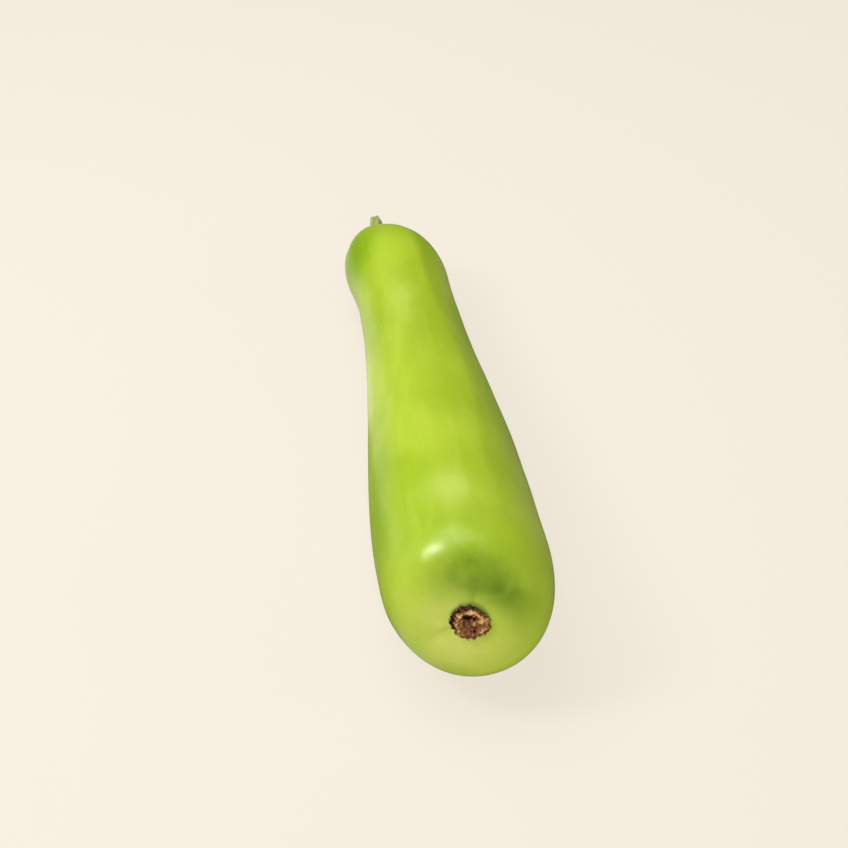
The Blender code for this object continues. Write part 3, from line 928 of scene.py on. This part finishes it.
class GourdBlossom(bpy.types.PropertyGroup):
    """Sizes and colours of the dry blossom."""

    sides: number_setting("Sides", "Divisions round the blossom", 200, min=40)
    rings: number_setting("Rings", "Divisions across the blossom", 90, min=20)
    raggedness: length_setting("Raggedness", "How far the torn edge wanders", 0.0007)
    wrinkle_height: length_setting("Wrinkle height", "Height of the wrinkles", 0.0008)
    flakes: number_setting("Flakes", "Torn flakes round the rim", 25, min=0)
    flake_length: length_setting("Flake length", "Length of a torn flake", 0.0025)
    flake_width: length_setting("Flake width", "Half width of a torn flake", 0.0010)
    flake_depth: length_setting("Flake depth", "Half thickness of a torn flake", 0.00018)
    curl: number_setting("Curl", "How far flakes turn aside", 0.65)
    flake_seed: number_setting("Flake seed", "Seed of the flakes' sizes", 5)
    hollow_colour: colour_setting("Hollows", "Darkest brown", (0.024, 0.007, 0.003))
    wrinkle_colour: colour_setting("Wrinkles", "Middle brown", (0.20, 0.075, 0.024))
    ridge_colour: colour_setting("Ridges", "Tan of the raised ridges", (0.60, 0.38, 0.155))
    char_colour: colour_setting(
        "Blackened", "Blackened patches at the edge", (0.028, 0.012, 0.006))


class GourdDown(bpy.types.PropertyGroup):
    """Fine hairs on the stalk and round the stem end."""

    per_area: number_setting("Hairs per area", "Hairs on a square metre of the stalk", 1.6e6)
    length: length_setting("Length", "Length of the longest hairs", 0.0008)
    radius: length_setting("Radius", "Radius of a hair at its root", 0.00003)
    lean: number_setting("Lean", "How far hairs lean from upright", 0.6, subtype="ANGLE")
    skin_share: number_setting(
        "Share on the fruit", "Density on the stem end beside that on the stalk", 0.16)
    seed: number_setting("Seed", "Seed of the hairs' places", 11)
    root_colour: colour_setting("Root colour", "Colour of some hairs", (0.50, 0.58, 0.25))
    tip_colour: colour_setting("Tip colour", "Colour of the palest hairs", (0.78, 0.80, 0.58))


class GourdStage(bpy.types.PropertyGroup):
    """Floor, light and camera."""

    floor_colour: colour_setting("Floor", "Colour of floor and backdrop", (0.92, 0.855, 0.74))
    floor_glow: number_setting(
        "Floor glow", "Share of the floor's own light", 0.82, min=0.0, max=1.0)
    floor_bounce: number_setting(
        "Floor bounce", "Glow that the floor sheds on the gourd", 0.30, min=0.0, max=1.0)
    mirrored_colour: colour_setting(
        "Mirrored", "Surroundings mirrored in the skin", (0.55, 0.66, 0.16))
    floor_mirrored: number_setting(
        "Floor mirrored", "Glow of the floor on the left, as the skin mirrors it", 0.80)
    sky_strength: number_setting("Sky", "Strength of the surrounding light", 0.24)
    key_power: number_setting("Key light", "Power of the overhead light, in watts", 9.3)
    front_power: number_setting("Front light", "Power of the front light, in watts", 41.0)
    right_power: number_setting("Right fill", "Power of the right fill light, in watts", 13.0)
    side_power: number_setting("Left key", "Power of the light at the left, in watts", 6.2)
    spot_power: number_setting("Highlight", "Power of the mirrored softbox, in watts", 12.5)
    rim_power: number_setting("Rim light", "Power of the low light at the left, in watts", 1.4)


def skin_mesh(settings):
    """Skin of the fruit, with the numbers that its material reads."""
    rings, furrows, distance, radius, angle = grown_skin(settings.sides)
    floors = (distance[0].mean() - SOCKET_DEPTH, distance[-1].mean() + SEAT_DEPTH)
    stem_ring, blossom_ring = (
        settle(reach - SKIN_GRIP, angle[0], np.full(settings.sides, floor))
        for reach, floor in zip((SOCKET_RADIUS, SEAT_RADIUS), floors)
    )
    rings = np.concatenate([stem_ring[None], rings, blossom_ring[None]]) + SHIFT
    mesh = closed_mesh("skin", rings, *(middle_point(floor) for floor in floors))
    share = distance / FRUIT_LENGTH
    near_face = 1 - ease(distance, *FACE_COLOUR_FADE)
    # Painted floor bounce: the halo is lighter on its lower left
    lower = 0.64 + 0.36 * np.cos(angle - BOUNCE_HEADING)
    # Painted shade on the shoulder above the blossom
    across = (radius - PAINTED_SHADE_RADIUS) / PAINTED_SHADE_WIDTH
    painted_shade = np.exp(-(across**2) - (turn_from(angle, PAINTED_SHADE_HEADING) / PAINTED_SHADE_SPREAD) ** 2)
    deepest = 0.78 + 0.22 * np.cos(angle - PAINTED_SHADE_DEEPEST)
    # Painted shade on the rim's upper right
    shaded = 0.55 + 0.45 * np.cos(angle - RIM_SHADE_HEADING)
    values = {
        "along": share,
        "furrow": furrows / FULL_FURROW,
        # Bands of painted light and shade
        "painted_light_band": painted_light_paleness(angle, distance),
        "halo_and_bounce": near_face * lower * (1 - ease(radius, SEAT_RADIUS, HALO_WIDTH)),
        "painted_shade": near_face * painted_shade * deepest,
        "rim": near_face * shaded * (1 - ease(radius, COLLAR_RADIUS, COLLAR_RADIUS + RIM_WIDTH)),
        "downy": ease(share, 0.945, 0.98) * ease(radius, SOCKET_RADIUS, 2 * SOCKET_RADIUS),
    }
    for name, grid in values.items():
        store_rings(mesh, name, np.concatenate([grid[:1], grid, grid[-1:]]))
    return mesh


def new_curve(name, kind, points):
    """Curve in space with one spline of a kind: the curve, the spline and its points."""
    curve = bpy.data.curves.new(name, "CURVE")
    curve.dimensions = "3D"
    spline = curve.splines.new(kind)
    handles = spline.bezier_points if kind == "BEZIER" else spline.points
    handles.add(points - 1)
    return curve, spline, handles


def stalk_curve():
    """Curve along the middle of the stalk, with its radii."""
    root, direction, _, _ = line_frame(np.float64(SOCKET_RIM - SOCKET_DEPTH))
    neck = root + direction * STALK_ROOT_LENGTH
    route = [(root, STALK_ROOT_RADIUS), (neck, 0.94 * STALK_ROOT_RADIUS)]
    route += [(np.array(place), radius) for place, radius in STALK_BEND]
    curve, _, points = new_curve("stalk_path", "BEZIER", len(route))
    curve.resolution_u = 16
    for point, (place, radius) in zip(points, route):
        point.co = place + SHIFT
        point.radius = radius
        point.handle_left_type = "AUTO"
        point.handle_right_type = "AUTO"
    return curve


def finish_cut_end(mesh, settings):
    """Close the stalk's mesh and shape its cut end: a rim round a shrunken pith."""
    work = bmesh.new()
    work.from_mesh(mesh)
    bmesh.ops.remove_doubles(work, verts=work.verts, dist=MERGE_DISTANCE)
    bmesh.ops.recalc_face_normals(work, faces=work.faces)
    caps = [face for face in work.faces if len(face.verts) > 4]
    cut = max(caps, key=lambda face: face.calc_center_median().y)
    pith = work.verts.layers.float.new("pith")
    for inset, sink, paleness in CUT_STEPS:
        bmesh.ops.inset_individual(work, faces=[cut], thickness=inset * settings.cut_inset)
        for vertex in cut.verts:
            lift = 0.2 * noise.noise(vertex.co * CUT_GRAIN) - sink
            vertex.co += cut.normal * lift * settings.cut_dent
            vertex[pith] = paleness
    bmesh.ops.triangulate(work, faces=[cut])
    work.to_mesh(mesh)
    work.free()


def groove_stalk(mesh, settings):
    """Press fine fibre grooves into the sides of the stalk."""
    normals = [vertex.normal.copy() for vertex in mesh.vertices]
    for vertex, normal in zip(mesh.vertices, normals):
        place = Vector([value * scale for value, scale in zip(vertex.co, FIBRE_SCALES)])
        vertex.co += normal * noise.noise(place) * settings.groove_height


def store_downy_part(mesh):
    """Mark the free part of the stalk as downy, short of its cut end."""
    along = np.empty(len(mesh.vertices), np.float32)
    mesh.attributes["along"].data.foreach_get("value", along)
    store(mesh, "downy", ease(along, 0.18, 0.30) * (1 - ease(along, 0.95, 0.99)))


def noise_grid(rows, angles, place):
    """Noise for each row and angle, at the place that a row and a direction give."""
    directions = [(math.cos(angle), math.sin(angle)) for angle in angles]
    return np.array([[noise.noise(Vector(place(row, *turn))) for turn in directions] for row in rows])


def collar_waves(angle):
    """Share that the collar's radius changes by along its torn edge."""
    return sum(share * np.cos(count * angle + phase) for count, share, phase in COLLAR_WAVES)


def blossom_mesh(settings):
    """Dry blossom: torn collar, raised crest, wrinkled disc and off-centre pit."""
    share = np.linspace(0.0, 1.0, settings.rings)
    places, radii, depths = zip(*BLOSSOM_PROFILE)
    radius = smooth_between(list(zip(places, radii)), share)[:, None]
    depth = smooth_between(list(zip(places, depths)), share)[:, None]
    angle = around(settings.sides)[None, :]
    rough = noise_grid(share, angle[0], lambda s, x, y: (x * 2.6, y * 2.6, s * 5 + 3))
    fine = noise_grid(share, angle[0], lambda s, x, y: (x * 6, y * 6, s * 6 + 9))
    lumps = noise_grid(radius[:, 0], angle[0], lambda r, x, y: (r * x * 620, r * y * 620, 4.0))
    proud = ease(-depth, 0.0, COLLAR_HEIGHT)
    outer = ease(radius, 0.8 * CREST_RADIUS, COLLAR_RADIUS)
    ragged = settings.raggedness * (0.6 * rough[0] + 1.2 * fine[0])
    reach = radius + proud * outer * (radius * collar_waves(angle) + ragged)
    right, up = reach * np.cos(angle), reach * np.sin(angle)
    pit = ((right - PIT_PLACE[0]) / PIT_SIZE[0]) ** 2 + ((up - PIT_PLACE[1]) / PIT_SIZE[1]) ** 2
    pit = np.exp(-pit)
    lean = 0.45 * (CREST_HEIGHT - DISC_HEIGHT) * np.sin(angle)
    lean = lean * proud * ease(radius, 0.2 * CREST_RADIUS, CREST_RADIUS)
    radial = (0.9 * rough + 0.8 * fine) * ease(radius, 0.0, 0.45 * CREST_RADIUS)
    folds = settings.wrinkle_height * proud * (radial + 0.7 * lumps)
    depth = depth - lean - folds + proud * PIT_DEPTH * pit
    rings = settle(reach, angle, SEAT_RIM + depth) + SHIFT
    floor = middle_point(SEAT_RIM + SEAT_DEPTH - SEAT_GAP)
    mesh = closed_mesh("blossom", rings, floor, middle_point(SEAT_RIM + depth[-1].mean()))
    crest = np.exp(-(((radius - CREST_RADIUS) / (0.16 * CREST_RADIUS)) ** 2))
    bright_side = 0.28 + 0.72 * ease(np.sin(angle + CREST_TURN), 0.15, 0.95)
    raised = 0.40 + 0.55 * crest * bright_side + 0.36 * (rough + fine + lumps) - 1.2 * pit
    raised = np.where(proud > 0.5, raised, 0.1)
    edge = np.broadcast_to(ease(radius, CREST_RADIUS, COLLAR_RADIUS), raised.shape)
    raised = raised - 0.6 * edge * ease(np.cos(angle - DARK_SIDE), -0.2, 0.9)
    store_rings(mesh, "raised", raised)
    store_rings(mesh, "outer", edge)
    return mesh


def collar_curve():
    """Closed curve just inside the collar's edge, its middle and the way that it faces."""
    level = SEAT_RIM - 0.8 * COLLAR_HEIGHT
    angle = around(72)
    reach = 0.90 * COLLAR_RADIUS * (1 + collar_waves(angle))
    places = settle(reach, angle, np.full(len(angle), level)) + SHIFT
    curve, spline, points = new_curve("collar_edge", "POLY", len(places))
    for point, place in zip(points, places):
        point.co = (*place, 1.0)
    spline.use_cyclic_u = True
    middle = middle_point(level)
    axis = middle - middle_point(level + 0.001)
    return curve, tuple(middle), tuple(axis / np.linalg.norm(axis))


class GOURD_OT_skin(bpy.types.Operator):
    """Grow the skin of the fruit"""

    bl_idname = "gourd.skin"
    bl_label = "Skin"

    def execute(self, context):
        settings = context.scene.gourd_skin
        skin = apply_nodes(
            new_object("skin_shape", skin_mesh(settings)), relief_nodes(), "gourd_skin",
            dent_height=settings.dent_height, dent_size=settings.dent_size,
            ripple_height=settings.ripple_height, ripple_size=settings.ripple_size,
            ground_clearance=GROUND_CLEARANCE, material=skin_material(settings),
        )
        dress(skin, "skin", "fruit")
        return {"FINISHED"}


class GOURD_OT_stalk(bpy.types.Operator):
    """Sweep the ribbed stalk and shape its cut end"""

    bl_idname = "gourd.stalk"
    bl_label = "Stalk"

    def execute(self, context):
        settings = context.scene.gourd_stalk
        stalk = apply_nodes(
            new_object("stalk_path", stalk_curve()), swept_nodes(), "gourd_stalk",
            ribs=settings.ribs, rib_depth=settings.rib_depth,
            sides=settings.sides, rings=settings.rings, material=stalk_material(settings),
        )
        finish_cut_end(stalk.data, settings)
        groove_stalk(stalk.data, settings)
        store_downy_part(stalk.data)
        stalk.data.shade_smooth()
        dress(stalk, "stalk", "stalk")
        return {"FINISHED"}


class GOURD_OT_blossom(bpy.types.Operator):
    """Shape the dry blossom in its seat"""

    bl_idname = "gourd.blossom"
    bl_label = "Dry blossom"

    def execute(self, context):
        settings = context.scene.gourd_blossom
        blossom = new_object("gourd_blossom_scar", blossom_mesh(settings))
        blossom.data.materials.append(blossom_material(settings))
        dress(blossom, "dry_blossom", "blossom_scar")
        return {"FINISHED"}


class GOURD_OT_flakes(bpy.types.Operator):
    """Set torn flakes along the edge of the dry blossom"""

    bl_idname = "gourd.flakes"
    bl_label = "Torn flakes"

    def execute(self, context):
        settings = context.scene.gourd_blossom
        curve, middle, axis = collar_curve()
        flakes = apply_nodes(
            new_object("flake_path", curve), flake_nodes(), "gourd_flakes",
            flakes=settings.flakes, flake_length=settings.flake_length,
            flake_width=settings.flake_width, flake_depth=settings.flake_depth,
            middle=middle, axis=axis, curl=settings.curl, seed=settings.flake_seed,
            material=flake_material(settings),
        )
        dress(flakes, "dry_blossom")
        return {"FINISHED"}


class GOURD_OT_down(bpy.types.Operator):
    """Scatter fine hairs over the stalk and the stem end"""

    bl_idname = "gourd.down"
    bl_label = "Down"

    def execute(self, context):
        settings = context.scene.gourd_down
        material = down_material(settings)
        hair_tree = hair_nodes()
        sources = (("stalk", "gourd_stalk", 1.0), ("stem_end", "gourd_skin", settings.skin_share))
        for name, source, share in sources:
            base = new_object(name + "_down_base", bpy.data.objects[source].data.copy())
            down = apply_nodes(
                base, hair_tree, name + "_down", hairs_per_area=settings.per_area * share,
                hair_length=settings.length, hair_radius=settings.radius, lean=settings.lean,
                seed=settings.seed, material=material,
            )
            dress(down, "stalk")
        return {"FINISHED"}


class GOURD_OT_stage(bpy.types.Operator):
    """Set the floor, the light and the camera"""

    bl_idname = "gourd.stage"
    bl_label = "Stage"

    def execute(self, context):
        settings = context.scene.gourd_stage
        set_floor(settings)
        set_world(settings)
        set_lights(settings)
        set_camera(context.scene)
        context.scene.view_settings.view_transform = "Standard"
        return {"FINISHED"}


def set_floor(settings):
    """Pale floor that glows as it is seen, mirrored pale on the left and leafy elsewhere."""
    bpy.ops.mesh.primitive_plane_add(size=FLOOR_SIZE, location=(0.0, 0.0, 0.0))
    floor = bpy.context.object
    floor.name = "floor"
    material, tree = start_material("pale floor")
    ray = add_node(tree, "ShaderNodeLightPath").node.outputs
    place = add_node(tree, "ShaderNodeSeparateXYZ", {"Vector": object_place(tree)}).node.outputs
    x, y = place["X"], place["Y"]
    left = multiply(tree, remap(tree, x, 0.02, -0.06), remap(tree, y, 0.36, 0.20))
    beside = multiply(tree, remap(tree, y, -0.20, -0.13), remap(tree, y, 0.06, -0.02))
    bare = multiply(tree, left, remap(tree, beside, 0.0, 1.0, 1.0, 0.0))
    leafy = multiply(tree, remap(tree, bare, 0.0, 1.0, 1.0, 0.0), ray["Is Glossy Ray"])
    bounce = settings.floor_bounce
    glow = remap(tree, ray["Is Camera Ray"], 0.0, 1.0, bounce, settings.floor_glow)
    pale = remap(tree, bare, 0.0, 1.0, 0.0, settings.floor_mirrored - bounce)
    glow = add(tree, glow, multiply(tree, pale, ray["Is Glossy Ray"]))
    inputs = {
        "Base Color": (*(FLOOR_ALBEDO * value for value in settings.floor_colour), 1.0),
        "Roughness": 0.9,
        "Specular IOR Level": 0.0,
        "Emission Color": paint(tree, settings.floor_colour, (leafy, settings.mirrored_colour)),
        "Emission Strength": multiply(tree, glow, remap(tree, leafy, 0.0, 1.0, 1.0, 0.5)),
    }
    floor.data.materials.append(finish_material(material, inputs))


def set_world(settings):
    """Even pale surrounding light, mirrored in the skin as leafy green."""
    world = bpy.data.worlds.new("pale surround")
    world.use_nodes = True
    tree = world.node_tree
    inputs = tree.nodes["Background"].inputs
    ray = add_node(tree, "ShaderNodeLightPath").node.outputs
    mirrored = (ray["Is Glossy Ray"], settings.mirrored_colour)
    feed(tree, inputs["Color"], paint(tree, settings.floor_colour, mirrored))
    strengths = (settings.sky_strength, settings.floor_glow)
    feed(tree, inputs["Strength"], remap(tree, ray["Is Camera Ray"], 0.0, 1.0, *strengths))
    bpy.context.scene.world = world


def add_softbox(name, place, target, size, power, mirrored=True, fills=True):
    """Area light turned to a target; it is mirrored in the skin, fills it with light, or both."""
    light = bpy.data.lights.new(name, "AREA")
    light.shape = "RECTANGLE"
    light.size, light.size_y = size
    light.energy = power
    softbox = new_object(name, light)
    softbox.visible_glossy = mirrored
    softbox.visible_diffuse = fills
    softbox.visible_transmission = fills
    softbox.visible_camera = False
    softbox.location = place
    aim = Vector(target) - Vector(place)
    softbox.rotation_euler = aim.to_track_quat("-Z", "Y").to_euler()


def set_lights(settings):
    """Overhead light, fill lights, a small softbox for the highlight, and a strip at the left."""
    shoulder = (-0.02, -0.18, 0.08)
    softboxes = (
        ("overhead", (-0.25, 0.28, 1.08), (0.0, 0.0, 0.04), (0.8, 1.0), settings.key_power),
        ("front fill", (-0.3, -2.6, 0.55), (0.0, -0.1, 0.04), (2.0, 0.9), settings.front_power, False),
        ("right fill", (2.2, -0.6, 0.70), (0.0, -0.1, 0.05), (1.4, 0.9), settings.right_power, False),
        ("left key", (-0.68, -0.14, 0.82), shoulder, (0.3, 0.3), settings.side_power, False),
        ("highlight", (-0.70, -0.14, 0.84), shoulder, (0.4, 0.4), settings.spot_power, True, False),
        ("left strip", (-1.40, 0.50, 0.30), (0.0, 0.0, 0.05), (1.0, 0.3), settings.rim_power),
    )
    for softbox in softboxes:
        add_softbox(*softbox)


def set_camera(scene):
    """Camera at the view of the photograph."""
    camera = new_object("camera", bpy.data.cameras.new("camera"))
    camera.data.lens = VIEW_LENS
    camera.data.clip_start = 0.01
    level = math.cos(VIEW_ELEVATION)
    back = Vector((
        math.sin(VIEW_AZIMUTH) * level, -math.cos(VIEW_AZIMUTH) * level, math.sin(VIEW_ELEVATION)
    ))
    camera.location = Vector(VIEW_TARGET) + back * VIEW_DISTANCE
    camera.rotation_euler = (-back).to_track_quat("-Z", "Y").to_euler()
    scene.camera = camera


class GOURD_PT_panel(bpy.types.Panel):
    """Steps that dress the gourd, with their settings"""

    bl_idname = "GOURD_PT_panel"
    bl_label = "Bottle Gourd"
    bl_space_type = "VIEW_3D"
    bl_region_type = "UI"
    bl_category = "Gourd"

    def draw(self, context):
        for operator, group in STEPS:
            box = self.layout.box()
            box.operator(operator.bl_idname)
            settings = getattr(context.scene, group)
            for name in settings.__annotations__:
                box.prop(settings, name)


STEPS = (
    (GOURD_OT_skin, "gourd_skin"),
    (GOURD_OT_stalk, "gourd_stalk"),
    (GOURD_OT_blossom, "gourd_blossom"),
    (GOURD_OT_flakes, "gourd_blossom"),
    (GOURD_OT_down, "gourd_down"),
    (GOURD_OT_stage, "gourd_stage"),
)
GROUPS = {
    "gourd_skin": GourdSkin,
    "gourd_stalk": GourdStalk,
    "gourd_blossom": GourdBlossom,
    "gourd_down": GourdDown,
    "gourd_stage": GourdStage,
}


def register():
    for group in GROUPS.values():
        bpy.utils.register_class(group)
    for operator, _ in STEPS:
        bpy.utils.register_class(operator)
    bpy.utils.register_class(GOURD_PT_panel)
    for name, group in GROUPS.items():
        setattr(bpy.types.Scene, name, bpy.props.PointerProperty(type=group))


def unregister():
    for name in GROUPS:
        delattr(bpy.types.Scene, name)
    bpy.utils.unregister_class(GOURD_PT_panel)
    for operator, _ in reversed(STEPS):
        bpy.utils.unregister_class(operator)
    for group in reversed(GROUPS.values()):
        bpy.utils.unregister_class(group)


def main():
    register()
    bpy.ops.gourd.stage()
    bpy.ops.gourd.skin()
    bpy.ops.gourd.stalk()
    bpy.ops.gourd.blossom()
    bpy.ops.gourd.flakes()
    bpy.ops.gourd.down()


if __name__ == "__main__":
    main()
